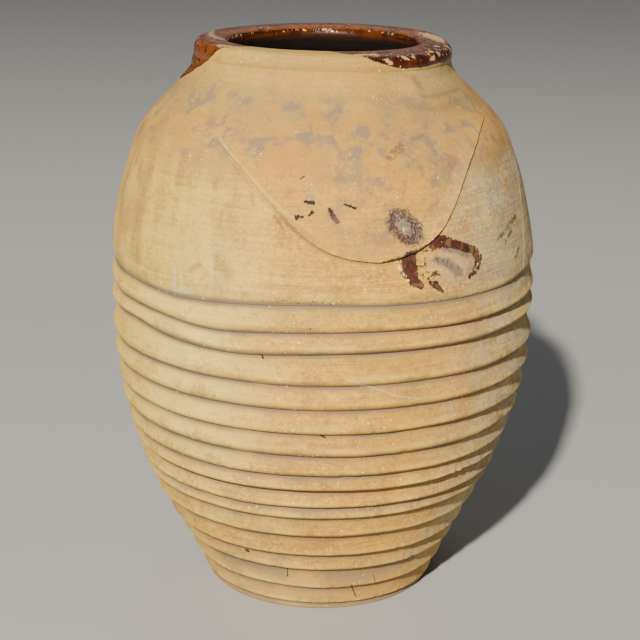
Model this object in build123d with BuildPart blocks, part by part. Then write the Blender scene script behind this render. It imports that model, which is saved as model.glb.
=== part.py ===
from build123d import *

import os
from math import cos, pi, radians, sin, sqrt

# A ribbed storage jar of lapped clay rings, standing on its foot.
# Lengths are in millimetres. The origin is the middle of the foot and +Z is up.
# Azimuth 0 is the front of the jar, at -Y, and azimuth grows towards +X.

# Heights of the stacked parts of the jar
foot_band_height = 12.0
ribbed_wall_height = 470.0
shoulder_rise = 218.0
neck_rise = 63.0
lip_height = 21.0

# Radii of the outside and of the mouth
foot_radius = 163.5
belly_radius = 301.0
belly_height = 410.0
mouth_radius = 129.0
lip_width = 48.0
neck_flare = 11.0

# Clay and glaze
wall_thickness = 26.0
floor_thickness = 30.0
glaze_thickness = 1.0

# Each ring hangs a ledge over the ring below and is lapped over its tongue
ledge_overhang = 7.0
ledge_rise = 6.0
ledge_droop = 1.0
ledge_droop_share = 0.6
band_hollow = 1.0
lap_rise = 14.0
foot_chamfer = 3.0

# Heights of the seams as shares of the ribbed wall, from the first to the last but one
seam_shares = [0.064, 0.136, 0.196, 0.274, 0.345, 0.387, 0.445, 0.498, 0.564, 0.636, 0.709, 0.781, 0.872, 0.930]

# The shoulder is three rings, and rounds over as a mix of a gentle and a steep curve
shoulder_course_count = 3
shoulder_gentle_share = 0.37

# The hollow of the neck under the rim
neck_hollow_rise = 25.0
hollow_inward_share = 0.68
hollow_upward_share = 0.42
throat_height = 11.0

# The rim ring
lip_undercut = 2.0
lip_lap_rise = 5.0
lip_outer_corner = 8.0
lip_inner_corner = 6.0

# The garlands: where each hangs, how wide it swings, and its line as shares of swing and drop
swag_azimuth = 14.5
swag_swing = 52.0
swag_width = 11.0
swag_height = 4.0
swag_bottom_share = 0.27
swag_top_share = 0.955
swag_line_shares = [
    (-1.0, 0.98),
    (-0.75, 0.75),
    (-0.5, 0.41),
    (-0.25, 0.09),
    (0.0, 0.0),
    (0.25, 0.11),
    (0.5, 0.55),
    (0.75, 0.885),
    (1.0, 1.0),
]

# Heights and radii that follow from the sizes above
ribbed_top = foot_band_height + ribbed_wall_height
shoulder_top = ribbed_top + shoulder_rise
lip_bottom = shoulder_top + neck_rise
clay_top = lip_bottom + lip_height
jar_height = clay_top + glaze_thickness
neck_height = lip_bottom - neck_hollow_rise
throat_bottom = lip_bottom - throat_height
throat_radius = mouth_radius + glaze_thickness
lip_radius = mouth_radius + lip_width
neck_radius = lip_radius + neck_flare

seam_heights = [foot_band_height]
for share in seam_shares:
    seam_heights.append(foot_band_height + share * ribbed_wall_height)
seam_heights.append(ribbed_top)
wall_course_count = len(seam_heights) - 1

shoulder_heights = []
for number in range(shoulder_course_count + 1):
    shoulder_heights.append(ribbed_top + shoulder_rise * number / shoulder_course_count)


def body_radius(height):
    """Radius of the smooth outside: a quarter wave up to the belly, then the shoulder rounding in."""
    if height <= belly_height:
        return foot_radius + (belly_radius - foot_radius) * sin(pi / 2 * height / belly_height)
    way = (height - belly_height) / (neck_height - belly_height)
    fall = shoulder_gentle_share * way**2 + (1 - shoulder_gentle_share) * way**4
    return belly_radius - (belly_radius - neck_radius) * fall


def body_slope(height):
    """How fast the outside radius grows with height."""
    if height <= belly_height:
        return (belly_radius - foot_radius) * cos(pi / 2 * height / belly_height) * pi / 2 / belly_height
    span = neck_height - belly_height
    way = (height - belly_height) / span
    steepness = 2 * shoulder_gentle_share * way + 4 * (1 - shoulder_gentle_share) * way**3
    return -(belly_radius - neck_radius) * steepness / span


def inner_point(height):
    """Point on the inside of the clay at a height, one wall thickness square in from the outside."""
    return (body_radius(height) - wall_thickness * sqrt(1 + body_slope(height) ** 2), height)


def ledge_seat(height):
    """Outer end of a ribbed seam, in the groove under the ledge."""
    return (body_radius(height) - ledge_overhang, height)


def flush_seat(height):
    """Outer end of a smooth seam, flush with the outside."""
    return (body_radius(height), height)


def ledge_tip(height):
    """Fullest point of the ledge that hangs over the seam at a height."""
    return (body_radius(height + ledge_rise), height + ledge_rise)


def draw_ledge(seam):
    """The drooping underside of a ledge, from the groove out to its fullest point."""
    seat = ledge_seat(seam)
    tip = ledge_tip(seam)
    middle = (seat[0] + ledge_droop_share * (tip[0] - seat[0]), seam - ledge_droop)
    ThreePointArc(seat, middle, tip)


def draw_lap(lower_seam, upper_seam, lower_seat, upper_seat):
    """The two lap joints and the inside face that lies between them."""
    upper_inside = inner_point(upper_seam + lap_rise)
    lower_inside = inner_point(lower_seam + lap_rise)
    Line(upper_seat, upper_inside)
    Line(upper_inside, lower_inside)
    Line(lower_inside, lower_seat)


def shoulder_arc(number, proud):
    """Start, middle and end of a shoulder ring's outside, moved out by the given amount."""
    start = ledge_tip(ribbed_top) if number == 0 else flush_seat(shoulder_heights[number])
    end = flush_seat(shoulder_heights[number + 1])
    middle = flush_seat((start[1] + end[1]) / 2)
    return [(radius + proud, height) for radius, height in (start, middle, end)]


def swag_point(swing_share, drop_share):
    """Point of the garland's line, seen square on from where it hangs."""
    bottom = ribbed_top + swag_bottom_share * shoulder_rise
    top = ribbed_top + swag_top_share * shoulder_rise
    height = bottom + drop_share * (top - bottom)
    return (body_radius(height) * sin(radians(swing_share * swag_swing)), height)


def save(part, name):
    """Names a finished piece and writes its file."""
    part.label = name
    export_step(part, f"parts/{name}.step")


os.makedirs("parts", exist_ok=True)

# The base slab, with the foot band on its edge and a bevelled seat for the first ring
with BuildPart() as base_disc:
    with BuildSketch(Plane.XZ):
        with BuildLine():
            floor_edge = inner_point(floor_thickness)
            Polyline((0, floor_thickness), (0, 0), (foot_radius - foot_chamfer, 0), (foot_radius, foot_chamfer))
            Line((foot_radius, foot_chamfer), ledge_seat(foot_band_height))
            Line(ledge_seat(foot_band_height), floor_edge)
            Line(floor_edge, (0, floor_thickness))
        make_face()
    revolve(axis=Axis.Z)
save(base_disc.part, "base_disc")

# The fifteen ribbed rings of the wall
for number in range(wall_course_count):
    lower_seam = seam_heights[number]
    upper_seam = seam_heights[number + 1]
    with BuildPart() as wall_course:
        with BuildSketch(Plane.XZ):
            with BuildLine():
                draw_ledge(lower_seam)
                middle_height = (lower_seam + ledge_rise + upper_seam) / 2
                middle = (body_radius(middle_height) - band_hollow, middle_height)
                ThreePointArc(ledge_tip(lower_seam), middle, ledge_seat(upper_seam))
                if number == 0:
                    Line(ledge_seat(upper_seam), inner_point(upper_seam + lap_rise))
                    Line(inner_point(upper_seam + lap_rise), inner_point(floor_thickness))
                    Line(inner_point(floor_thickness), ledge_seat(lower_seam))
                else:
                    draw_lap(lower_seam, upper_seam, ledge_seat(lower_seam), ledge_seat(upper_seam))
            make_face()
        revolve(axis=Axis.Z)
    save(wall_course.part, f"wall_course_{number + 1:02d}")

# The smooth rings of the shoulder
for number in range(shoulder_course_count):
    lower_seam = shoulder_heights[number]
    upper_seam = shoulder_heights[number + 1]
    with BuildPart() as shoulder_course:
        with BuildSketch(Plane.XZ):
            with BuildLine():
                if number == 0:
                    draw_ledge(lower_seam)
                    lower_seat = ledge_seat(lower_seam)
                else:
                    lower_seat = flush_seat(lower_seam)
                ThreePointArc(*shoulder_arc(number, 0))
                draw_lap(lower_seam, upper_seam, lower_seat, flush_seat(upper_seam))
            make_face()
        revolve(axis=Axis.Z)
    save(shoulder_course.part, f"shoulder_course_{number + 1}")

# The neck ring, which closes in to the throat and hollows out under the rim
neck_seat = (lip_radius - lip_undercut, lip_bottom)
throat_joint = (throat_radius, lip_bottom + lip_lap_rise)
with BuildPart() as neck_course:
    with BuildSketch(Plane.XZ):
        with BuildLine():
            start = flush_seat(shoulder_top)
            hollow_start = (neck_radius, neck_height)
            hollow_middle = (
                neck_radius + hollow_inward_share * (neck_seat[0] - neck_radius),
                neck_height + hollow_upward_share * neck_hollow_rise,
            )
            throat_edge = (throat_radius, throat_bottom)
            inside = inner_point(shoulder_top + lap_rise)
            ThreePointArc(start, flush_seat((shoulder_top + neck_height) / 2), hollow_start)
            ThreePointArc(hollow_start, hollow_middle, neck_seat)
            Polyline(neck_seat, throat_joint, throat_edge, inside, start)
        make_face()
    revolve(axis=Axis.Z)
save(neck_course.part, "neck_course")

# The heavy rim ring, flat on top with rounded corners
outer_corner_centre = (lip_radius - lip_outer_corner, clay_top - lip_outer_corner)
inner_corner_centre = (throat_radius + lip_inner_corner, clay_top - lip_inner_corner)
rim_outer_top = (outer_corner_centre[0], clay_top)
rim_inner_top = (inner_corner_centre[0], clay_top)
throat_top = (throat_radius, inner_corner_centre[1])
with BuildPart() as rim_lip:
    with BuildSketch(Plane.XZ):
        with BuildLine():
            CenterArc((neck_seat[0], lip_bottom + lip_undercut), lip_undercut, -90, 90)
            Line((lip_radius, lip_bottom + lip_undercut), (lip_radius, outer_corner_centre[1]))
            CenterArc(outer_corner_centre, lip_outer_corner, 0, 90)
            Line(rim_outer_top, rim_inner_top)
            CenterArc(inner_corner_centre, lip_inner_corner, 90, 90)
            Polyline(throat_top, throat_joint, neck_seat)
        make_face()
    revolve(axis=Axis.Z)
save(rim_lip.part, "rim_lip")

# The garlands: a thin shell over the shoulder, kept only where the hanging band crosses it
for name, azimuth in (("swag_front", swag_azimuth), ("swag_back", swag_azimuth + 180)):
    turn = radians(azimuth)
    hanging_plane = Plane(origin=(0, 0, 0), x_dir=(cos(turn), sin(turn), 0), z_dir=(sin(turn), -cos(turn), 0))
    with BuildPart() as swag:
        with BuildSketch(Plane.XZ):
            with BuildLine():
                for number in range(shoulder_course_count):
                    ThreePointArc(*shoulder_arc(number, 0))
                    ThreePointArc(*shoulder_arc(number, swag_height))
                for number, end in ((0, 0), (shoulder_course_count - 1, -1)):
                    Line(shoulder_arc(number, 0)[end], shoulder_arc(number, swag_height)[end])
            make_face()
        revolve(axis=Axis.Z)
        with BuildSketch(hanging_plane):
            with BuildLine():
                Spline([swag_point(*shares) for shares in swag_line_shares])
            trace(line_width=swag_width)
        extrude(amount=belly_radius + swag_height, mode=Mode.INTERSECT)
    save(swag.part, name)

# The glaze coat, from the floor up the inside, round the rim's inner corner and over its flat top
inside_seams = [upper + lap_rise for upper in seam_heights[1:] + shoulder_heights[1:]]
clay_side = [(0, floor_thickness), inner_point(floor_thickness)]
clay_side += [inner_point(height) for height in inside_seams]
clay_side += [(throat_radius, throat_bottom), throat_top]
floor_level = floor_thickness + glaze_thickness
glaze_side = [(0, floor_level), (inner_point(floor_thickness)[0] - glaze_thickness, floor_level)]
glaze_side += [(radius - glaze_thickness, height) for radius, height in clay_side[2:]]
with BuildPart() as glaze_coat:
    with BuildSketch(Plane.XZ):
        with BuildLine():
            Polyline(clay_side)
            CenterArc(inner_corner_centre, lip_inner_corner, 90, 90)
            Polyline(rim_inner_top, rim_outer_top, (rim_outer_top[0], jar_height), (rim_inner_top[0], jar_height))
            CenterArc(inner_corner_centre, lip_inner_corner + glaze_thickness, 90, 90)
            Polyline(glaze_side)
            Line(glaze_side[0], clay_side[0])
        make_face()
    revolve(axis=Axis.Z)
save(glaze_coat.part, "glaze_coat")

print("jar height", jar_height, "largest radius", round(belly_radius, 1))
print("mouth bore length", inner_corner_centre[1] - throat_bottom, "inside seams", len(inside_seams))
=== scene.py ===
"""The looks of a greek pithos: a coil-built storage jar of buff clay with a glazed mouth.

Sizes are in metres. A place on the jar is given by its azimuth, in degrees from the side that faces
the camera and growing to the right, and by its height above the ground.
"""

import math

import bpy
from mathutils import Matrix, Vector


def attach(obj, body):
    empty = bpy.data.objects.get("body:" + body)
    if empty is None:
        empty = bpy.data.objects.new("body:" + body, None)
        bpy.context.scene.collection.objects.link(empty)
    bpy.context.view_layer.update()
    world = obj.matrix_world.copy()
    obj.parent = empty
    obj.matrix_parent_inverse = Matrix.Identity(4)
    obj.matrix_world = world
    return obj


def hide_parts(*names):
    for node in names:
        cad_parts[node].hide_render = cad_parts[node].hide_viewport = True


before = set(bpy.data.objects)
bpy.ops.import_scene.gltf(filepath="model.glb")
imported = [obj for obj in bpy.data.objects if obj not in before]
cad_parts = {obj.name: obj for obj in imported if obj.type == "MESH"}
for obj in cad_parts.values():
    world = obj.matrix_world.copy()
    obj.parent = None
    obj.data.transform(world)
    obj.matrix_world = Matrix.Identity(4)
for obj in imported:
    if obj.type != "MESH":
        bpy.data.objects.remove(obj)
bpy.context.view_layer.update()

# The jar's outline

FOOT_RADIUS = 0.1635
BELLY_RADIUS = 0.301
BELLY_HEIGHT = 0.410
NECK_RADIUS = 0.188
NECK_HEIGHT = 0.738
SHOULDER_GENTLE_SHARE = 0.37
LOWER_TRIMS = ((0.080, 0.050, -0.0028), (0.200, 0.070, 0.0012))
SHOULDER_TRIMS = (
    (0.570, 0.040, -0.0013),
    (0.668, 0.022, 0.0040),
    (0.712, 0.012, -0.0020),
)
WALL_THICKNESS = 0.026
FLOOR_HEIGHT = 0.030
COAT = 0.001

# Where the flat floor and the underside have a point between the axis and the edge

HALFWAY_RADIUS = 0.08

# The foot's lowest corner: how far in from its radius, and height

FOOT_CORNER = ((0.0005, 0.0015), (0.002, 0.0))

# Seams of the wall: height, overhang of the ledge at its deepest, height of its rounded nose

SEAMS = (
    (0.0120, 0.0030, 0.0030),
    (0.0421, 0.0050, 0.0035),
    (0.0759, 0.0060, 0.0040),
    (0.1041, 0.0062, 0.0040),
    (0.1408, 0.0066, 0.0045),
    (0.1742, 0.0062, 0.0040),
    (0.1939, 0.0060, 0.0040),
    (0.2212, 0.0086, 0.0040),
    (0.2461, 0.0064, 0.0055),
    (0.2771, 0.0064, 0.0110),
    (0.3109, 0.0064, 0.0050),
    (0.3452, 0.0064, 0.0060),
    (0.3791, 0.0064, 0.0070),
    (0.4218, 0.0078, 0.0110),
    (0.4491, 0.0070, 0.0065),
    (0.4820, 0.0046, 0.0100),
)
GROUND = (0.0, 0.0, 0.003)
LEDGE_DROOP = 0.0016
NOSE_SHARE = 0.90

# The two kinds of ledge: how much of its overhang it keeps, how much taller its nose is, and whether
# the nose rolls softly into the groove or ends in a sharp underside

SOFT_LEDGE = (1.00, 2.1, True)
CRISP_LEDGE = (1.35, 0.45, False)

# Upper edges of the shoulder's rings

SHOULDER_HEIGHTS = (0.5547, 0.6273, 0.7000)

# The neck and the lip: radius, height

NECK_OUTLINE = (
    (0.2123, 0.712),
    (0.2000, 0.726),
    (0.1885, 0.738),
    (0.1808, 0.748),
    (0.1776, 0.756),
    (0.1762, 0.763),
)
NECK_INSIDE = ((0.165, 0.725), (0.1385, 0.742))
LIP_BOTTOM = 0.763
LIP_OUTLINE = (
    (0.1772, 0.7665),
    (0.1776, 0.7720),
    (0.1764, 0.7775),
    (0.1730, 0.7820),
    (0.1675, 0.7845),
    (0.1600, 0.7850),
    (0.1500, 0.7850),
    (0.1420, 0.7848),
    (0.1365, 0.7835),
    (0.1325, 0.7805),
    (0.1306, 0.7760),
    (0.1300, 0.7700),
)
THROAT_RADIUS = 0.130
THROAT_BOTTOM = 0.752
LINING_TOP = (0.1325, 0.7803)
LINING_TOP_INNER = (0.1321, 0.7806)
RIM_TILT = 0.006

# Further in than this, the height over the lip grows with the way across its top

LIP_TURN_RADIUS = 0.170

# Where the hand lifted or sank a seam: azimuth and its width in degrees, height and its width, amount

LIFTS = (
    (12, 22, 0.470, 0.040, 0.0030),
    (-4, 15, 0.487, 0.018, 0.0045),
    (-60, 14, 0.422, 0.016, 0.0045),
    (84, 22, 0.485, 0.030, 0.0100),
    (-34, 17, 0.420, 0.013, -0.0042),
)

# Steps of the meshes, and the angles past which their edges stay sharp

STEPS_AROUND = 640
FACE_STEP = 0.0022
NOSE_STEPS = 7
NECK_STEPS = 5
LIP_STEPS = 4
LINING_STEPS = 40
GARLAND_LINE_STEPS = 8
GARLAND_STEPS_ALONG = 320
GARLAND_STEPS_ACROSS = 40
TOP_STEPS_SHARE = 0.75
MERGE_DISTANCE = 0.000001
RING_CREASE = 30
GARLAND_CREASE = 60

# The garlands

GARLAND_LINE = (
    (-40.0, 0.6960),
    (-36.5, 0.6870),
    (-30.0, 0.6700),
    (-23.0, 0.6500),
    (-18.0, 0.6290),
    (-14.0, 0.6120),
    (-10.0, 0.5960),
    (-5.4, 0.5760),
    (-0.3, 0.5590),
    (4.6, 0.5490),
    (9.5, 0.5435),
    (14.6, 0.5410),
    (19.5, 0.5450),
    (25.4, 0.5540),
    (31.7, 0.5730),
    (36.6, 0.6000),
    (41.7, 0.6290),
    (49.3, 0.6610),
    (57.5, 0.6810),
    (66.0, 0.6910),
    (74.0, 0.6960),
)
GARLAND_TURNS = {"swag_front": 0.0, "swag_back": 180.0}
GARLAND_WIDTH = 0.034
GARLAND_RISE = 0.0042
GARLAND_BURIED = 0.003

# The same line for the clay's marks: its lowest point, and how it climbs on each side of it

GARLAND_MIDDLE = 14.6
GARLAND_LOW = 0.541
GARLAND_CLIMB = 0.145
GARLAND_LEFT_REACH = 57
GARLAND_RIGHT_REACH = 47

# One measure for what runs up and round the jar: metres of surface for a radian

REACH = 0.28

# Camera and light. Each light: azimuth, elevation, distance, size, power

CAMERA_PLACE = (-0.001, -2.218, 1.059)
CAMERA_DIP = 17.06
CAMERA_ROLL = 0.49
SENSOR_WIDTH = 36
CAMERA_LENS = SENSOR_WIDTH * 1604 / 640
LIGHTS = {
    "key_light": (-13.6, 33.3, 14.0, 0.55, 4300),
    "back_light": (180, 50, 4.0, 3.0, 24),
}
LIGHT_COLOUR = (1.0, 0.95, 0.87)
AIM_HEIGHT = 0.42
SKY_COLOUR = (0.62, 0.78, 1.0, 1)
SKY_STRENGTH = 0.095
FLOOR_REACH = 40


def swell(height, middle, width):
    """A smooth hump of height 1 around a middle. It takes numbers and sockets alike."""
    away = (height - middle) / width
    return math.e ** (away * away * -1)


def swell_round(azimuth, middle, width):
    """A hump at an azimuth, whose middle and width are in degrees."""
    return swell(azimuth, math.radians(middle), math.radians(width))


def trimmed(radius, height, trims):
    """A radius with small humps and hollows added at some heights."""
    for middle, width, amount in trims:
        radius = radius + swell(height, middle, width) * amount
    return radius


def shoulder_radius(height):
    """The outside above the belly, for numbers and sockets alike."""
    way = (height - BELLY_HEIGHT) / (NECK_HEIGHT - BELLY_HEIGHT)
    square = way * way
    fall = square * SHOULDER_GENTLE_SHARE + square * square * (1 - SHOULDER_GENTLE_SHARE)
    return trimmed(fall * (NECK_RADIUS - BELLY_RADIUS) + BELLY_RADIUS, height, SHOULDER_TRIMS)


def body_radius(height):
    """The outside of the jar from the foot to the shoulder's top, for numbers."""
    if height > BELLY_HEIGHT:
        return shoulder_radius(height)
    rise = math.sin(math.pi / 2 * height / BELLY_HEIGHT)
    return trimmed(FOOT_RADIUS + (BELLY_RADIUS - FOOT_RADIUS) * rise, height, LOWER_TRIMS)


def inner_radius(height, step=0.001):
    """The inside of the clay wall, a wall's thickness in from the outside."""
    slope = (body_radius(height + step) - body_radius(height - step)) / (2 * step)
    return body_radius(height) - WALL_THICKNESS * math.sqrt(1 + slope * slope)


def rim_tilt(side, toward, radius):
    """How far the rim hangs to its front right, as a share, for sockets."""
    return side.ramp(-0.2, 1.0) * toward.ramp(-0.6, 0.1) * (radius.ramp(0.145, 0.172) * 0.6 + 0.4)


class Socket:
    """An output of a node, with the sums that are used on it."""

    def __init__(self, tree, output):
        self.tree = tree
        self.output = output

    def sum(self, operation, *values):
        return self.tree.add("ShaderNodeMath", {"operation": operation}, dict(enumerate(values)))

    def __add__(self, other):
        return self.sum("ADD", self, other)

    def __sub__(self, other):
        return self.sum("SUBTRACT", self, other)

    def __mul__(self, other):
        return self.sum("MULTIPLY", self, other)

    def __truediv__(self, other):
        return self.sum("DIVIDE", self, other)

    def __pow__(self, other):
        return self.sum("POWER", self, other)

    def __radd__(self, other):
        return self.sum("ADD", other, self)

    def __rsub__(self, other):
        return self.sum("SUBTRACT", other, self)

    def __rpow__(self, other):
        return self.sum("POWER", other, self)

    def sine(self):
        return self.sum("SINE", self)

    def cosine(self):
        return self.sum("COSINE", self)

    def root(self):
        return self.sum("SQRT", self)

    def size(self):
        return self.sum("ABSOLUTE", self)

    def above(self, other):
        return self.sum("MAXIMUM", self, other)

    def below(self, other):
        return self.sum("MINIMUM", self, other)

    def less(self, other):
        return self.sum("LESS_THAN", self, other)

    def ramp(self, start, end):
        """0 at start and 1 at end, smooth between them. Start may be the larger."""
        if start > end:
            return 1 - self.ramp(end, start)
        settings = {"interpolation_type": "SMOOTHSTEP"}
        inputs = {0: self, 1: start, 2: end, 3: 0.0, 4: 1.0}
        return self.tree.add("ShaderNodeMapRange", settings, inputs)

    def part(self, letter):
        return self.tree.add("ShaderNodeSeparateXYZ", {}, {0: self}, letter)


class Tree:
    """A node tree that is built call by call."""

    def __init__(self, tree):
        self.tree = tree

    def add(self, kind, settings, inputs, output=0):
        node = self.tree.nodes.new(kind)
        for name, value in settings.items():
            setattr(node, name, value)
        for key, value in inputs.items():
            socket = find_socket(node.inputs, key)
            if isinstance(value, Socket):
                self.tree.links.new(value.output, socket)
            else:
                socket.default_value = value
        if not node.outputs:
            return node
        return Socket(self, find_socket(node.outputs, output))

    def outlets(self, socket):
        """The other outputs of the node that a socket belongs to."""
        return {other.name: Socket(self, other) for other in socket.output.node.outputs if other.enabled}

    def vector(self, x, y, z):
        return self.add("ShaderNodeCombineXYZ", {}, {0: x, 1: y, 2: z})

    def blend(self, share, first, second):
        """Goes from the first colour to the second as share goes from 0 to 1."""
        inputs = {"Factor": share, "A": first, "B": second}
        return self.add("ShaderNodeMix", {"data_type": "RGBA"}, inputs, "Result")

    def layered(self, colour, *layers):
        """Lays colours over a first one in turn. Each layer is its share and its colour."""
        for share, over in layers:
            colour = self.blend(share, colour, over)
        return colour

    def noise(self, place, scale, detail=2.0, roughness=0.5):
        inputs = {"Vector": place, "Scale": scale, "Detail": detail, "Roughness": roughness}
        return self.add("ShaderNodeTexNoise", {"noise_dimensions": "3D"}, inputs)


def find_socket(sockets, key):
    if isinstance(key, int):
        return sockets[key]
    return next(socket for socket in sockets if socket.name == key and socket.enabled)


def new_shape_tree(name, inputs):
    """An empty geometry tree with named inputs, and its group input's sockets by name."""
    tree = bpy.data.node_groups.new(name, "GeometryNodeTree")
    tree.interface.new_socket("Geometry", in_out="OUTPUT", socket_type="NodeSocketGeometry")
    for label, kind in inputs.items():
        tree.interface.new_socket(label, in_out="INPUT", socket_type=kind)
    wrapped = Tree(tree)
    group = tree.nodes.new("NodeGroupInput")
    return wrapped, {label: Socket(wrapped, find_socket(group.outputs, label)) for label in inputs}


def spread_grid(tree, columns, rows):
    """A grid to be rolled up, with the column and the row of each of its points."""
    grid = tree.add("GeometryNodeMeshGrid", {}, {"Vertices X": columns + 1, "Vertices Y": rows + 1})
    index = tree.add("GeometryNodeInputIndex", {}, {})
    column = index.sum("FLOOR", (index + 0.5) / (rows + 1))
    return grid, column, index - column * (rows + 1)


def finish_shape(tree, shape, marks, places, crease, material):
    """Ends a geometry tree: stores the marks, puts the points in place, merges doubles, takes out loose
    edges, shades smooth except where edges turn by more than the crease angle, and gives out real faces."""
    for name, value in marks.items():
        inputs = {"Geometry": shape, "Name": name, "Value": value}
        shape = tree.add("GeometryNodeStoreNamedAttribute", {"data_type": "FLOAT", "domain": "POINT"}, inputs)
    shape = tree.add("GeometryNodeSetPosition", {}, {"Geometry": shape, "Position": places})
    shape = tree.add("GeometryNodeMergeByDistance", {}, {"Geometry": shape, "Distance": MERGE_DISTANCE})
    loose = tree.add("GeometryNodeInputMeshEdgeNeighbors", {}, {}, "Face Count").less(0.5)
    settings = {"domain": "EDGE", "mode": "EDGE_FACE"}
    shape = tree.add("GeometryNodeDeleteGeometry", settings, {"Geometry": shape, "Selection": loose})
    turn = tree.add("GeometryNodeInputMeshEdgeAngle", {}, {}, "Unsigned Angle")
    smooth = turn.less(math.radians(crease))
    for domain, smoothed in (("FACE", True), ("EDGE", smooth)):
        inputs = {"Geometry": shape, "Shade Smooth": smoothed}
        shape = tree.add("GeometryNodeSetShadeSmooth", {"domain": domain}, inputs)
    shape = tree.add("GeometryNodeRealizeInstances", {}, {"Geometry": shape})
    shape = tree.add("GeometryNodeSetMaterial", {}, {"Geometry": shape, "Material": material})
    tree.add("NodeGroupOutput", {}, {"Geometry": shape})


def potters_hand(tree, azimuth, radius, height, edge):
    """Turns a true round place into the one that the potter's hand and the kiln left."""
    across = azimuth.sine()
    toward = azimuth.cosine()
    around = tree.vector(across * 0.3, toward * -0.3, height)
    stretched = tree.vector(across, toward, height * 3.6)
    settled = height.ramp(0.0, 0.07)
    front = toward.ramp(0.1, 0.8)
    waver = (tree.noise(stretched, 1.25, 1.0) - 0.5) * 0.008 * (1 - front * 0.75)
    dip_azimuth = (height - 0.422) * -5.8 - math.radians(20)
    dip = swell(azimuth - dip_azimuth, 0, math.radians(13)) * swell(height, 0.45, 0.042) * -0.0062
    lift = swell_round(azimuth, 0, 32) * (1 - height.ramp(0.4, 0.47)) * 0.0012
    for middle, width, high, tall, amount in LIFTS:
        lift = lift + swell_round(azimuth, middle, width) * swell(height, high, tall) * amount
    off_axis = radius.ramp(0.0, 0.1)
    up = height + (waver * (1 - height.ramp(0.5, 0.6) * 0.8) + dip + lift) * settled * off_axis
    sunk = height.ramp(0.69, 0.765) * RIM_TILT
    up = up - rim_tilt(across, toward, radius) * sunk - height.ramp(0.76, 0.78) * 0.0003
    lumps = (tree.noise(around, 11.0, 2.0) - 0.5) * 0.0042
    dents = (tree.noise(around, 42.0, 1.0) - 0.5) * 0.0011
    oval = (azimuth * 2 + 0.7).sine() * 0.0009
    push = (lumps + dents + oval) * height.ramp(0.0, 0.03) - swell(height, 0.41, 0.07) * 0.0006
    push = push * off_axis + swell_round(azimuth, -84, 28) * swell(height, 0.757, 0.009) * 0.003
    crumble = tree.noise(around, 46.0, 2.0, 0.6).ramp(0.58, 0.72) * edge
    nicks = tree.noise(around, 150.0, 1.0, 0.6).ramp(0.6, 0.74) * edge
    broken = swell_round(azimuth, 46, 5) * swell(height, 0.221, 0.008)
    broken = broken + swell_round(azimuth, 60, 3) * swell(height, 0.277, 0.01)
    bitten = tree.noise(around, 90.0, 2.0).ramp(0.3, 0.6)
    worn = crumble * 0.0016 + nicks * 0.0009 + broken * edge * bitten * 0.005
    out = radius + push - worn
    lean = swell(height, 0.41, 0.14) * 0.0022 - swell(height, 0.15, 0.08) * 0.003
    return tree.vector(out * across + lean * off_axis, out * toward * -1, up + worn * 0.5)


def build_ring_tree():
    """Spins a section into a closed ring. The section is the modifier's own mesh: a loop of points
    (radius, 0, height) as it runs on the jar's shallow side, with the attributes deep, its points on
    the deep side, groove, how much dirt and painted shade they take, and edge, how crumbled they
    are and how much wear and painted highlight they take."""
    kinds = {
        "Geometry": "NodeSocketGeometry",
        "Steps around": "NodeSocketInt",
        "Material": "NodeSocketMaterial",
    }
    tree, given = new_shape_tree("thrown_ring", kinds)
    section, steps = given["Geometry"], given["Steps around"]
    count = tree.add("GeometryNodeAttributeDomainSize", {"component": "MESH"}, {"Geometry": section})
    grid, column, row = spread_grid(tree, steps, count)
    row = row * row.less(count - 0.5) + 0.25

    def sampled(kind, value):
        inputs = {"Geometry": section, "Value": value, "Index": row}
        return tree.add("GeometryNodeSampleIndex", {"data_type": kind, "domain": "POINT"}, inputs)

    def named(kind, name):
        return sampled(kind, tree.add("GeometryNodeInputNamedAttribute", {"data_type": kind}, {"Name": name}))

    shallow = sampled("FLOAT_VECTOR", tree.add("GeometryNodeInputPosition", {}, {}))
    azimuth = column / steps * math.tau - math.pi
    nearly_round = tree.vector(azimuth.sine(), azimuth.cosine(), shallow.part("Z") * 12)
    share = (azimuth - math.radians(14)).sine() * 0.5 + 0.5 + (tree.noise(nearly_round, 1.4, 1.0) - 0.5) * 0.9
    settings = {"data_type": "VECTOR", "clamp_factor": False}
    inputs = {"Factor": share.above(0.0).below(1.15), "A": shallow, "B": named("FLOAT_VECTOR", "deep")}
    place = tree.add("ShaderNodeMix", settings, inputs, "Result")
    marks = {name: named("FLOAT", name) for name in ("edge", "groove")}
    places = potters_hand(tree, azimuth, place.part("X"), place.part("Z"), marks["edge"])
    finish_shape(tree, grid, marks, places, RING_CREASE, given["Material"])
    return tree.tree


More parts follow.
